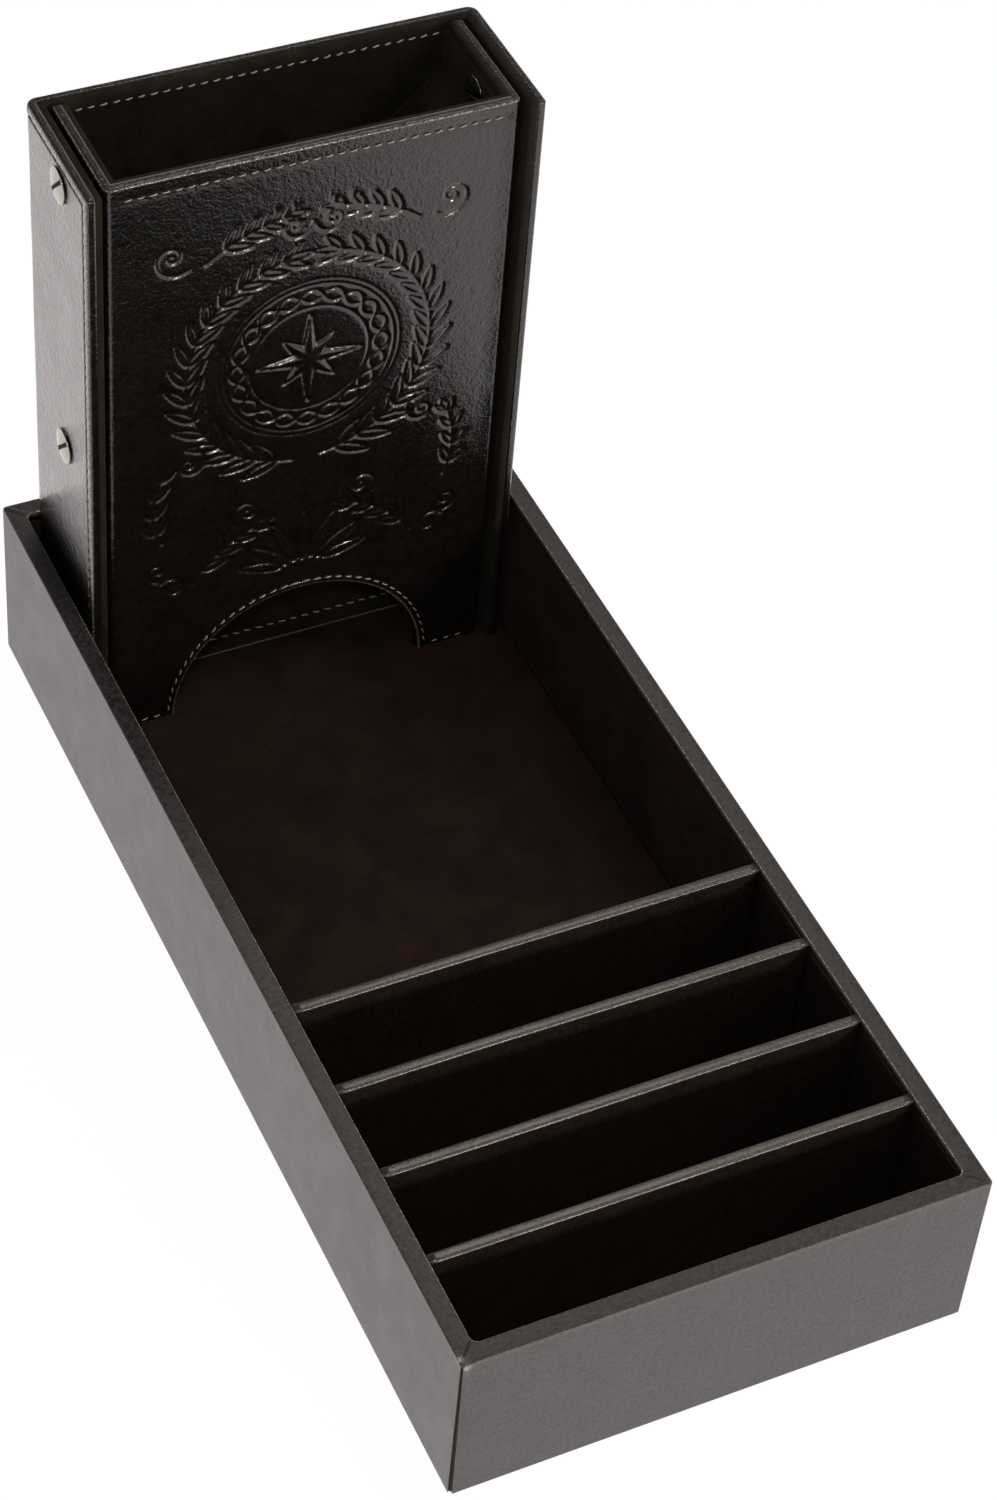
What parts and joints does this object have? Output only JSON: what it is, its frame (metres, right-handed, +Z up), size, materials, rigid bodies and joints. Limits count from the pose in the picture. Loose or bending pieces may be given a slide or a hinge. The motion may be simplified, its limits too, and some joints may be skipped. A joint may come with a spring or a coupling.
{
  "type": "dice storage chest",
  "caption": "Leatherette-wrapped open tray with dice compartments across the front, a velvet rolling area, and a lift-out two-shell dice tower with an arched exit.",
  "frame": {"origin": "centre of the tray's underside, on the surface it stands on", "axes": "+X to the right seen from the front, +Y to the back along the tray's length, +Z up"},
  "size_m": [0.14, 0.3084, 0.1924],
  "materials": {
    "tray_leatherette": "smooth fine-grained black leatherette, satin",
    "tower_leatherette": "pebbled black leatherette, satin, embossed and stitched",
    "velvet": "short-pile black velvet",
    "fibreboard": "raw fibreboard, covered",
    "greyboard": "dense greyboard, covered",
    "backing_sheet": "thin black non-woven sheet",
    "nickel": "nickel-plated, satin, slightly worn"
  },
  "bodies": {
    "tray": {"tray_base_board": "fibreboard", "tray_left_board": "fibreboard", "tray_right_board": "fibreboard", "tray_front_board": "fibreboard", "tray_back_board": "fibreboard", "tray_cover": "tray_leatherette", "tray_underside": "backing_sheet", "rolling_floor_lining": "velvet", "rolling_wall_lining": "velvet", "compartment_wall_lining": "tray_leatherette", "divider_board_1": "greyboard", "divider_board_2": "greyboard", "divider_board_3": "greyboard", "divider_board_4": "greyboard", "divider_cover_1": "tray_leatherette", "divider_cover_2": "tray_leatherette", "divider_cover_3": "tray_leatherette", "divider_cover_4": "tray_leatherette", "compartment_floor_lining_1": "velvet", "compartment_floor_lining_2": "velvet", "compartment_floor_lining_3": "velvet", "compartment_floor_lining_4": "velvet"},
    "tower": {"outer_back_board": "greyboard", "outer_left_board": "greyboard", "outer_right_board": "greyboard", "outer_cover": "tower_leatherette", "outer_lining": "velvet", "inner_front_board": "greyboard", "inner_left_board": "greyboard", "inner_right_board": "greyboard", "inner_cover": "tower_leatherette", "inner_lining": "velvet", "upper_ramp_board": "greyboard", "upper_ramp_facing": "velvet", "middle_ramp_board": "greyboard", "middle_ramp_facing": "velvet", "exit_ramp_board": "greyboard", "exit_ramp_facing": "velvet", "post_barrels": "nickel", "post_screws": "nickel"}
  },
  "joints": [
    {"name": "tower_lift", "type": "slide", "parent": "tray", "child": "tower", "axis": [0, 0, 1], "range_m": [0, 0.06]}
  ]
}
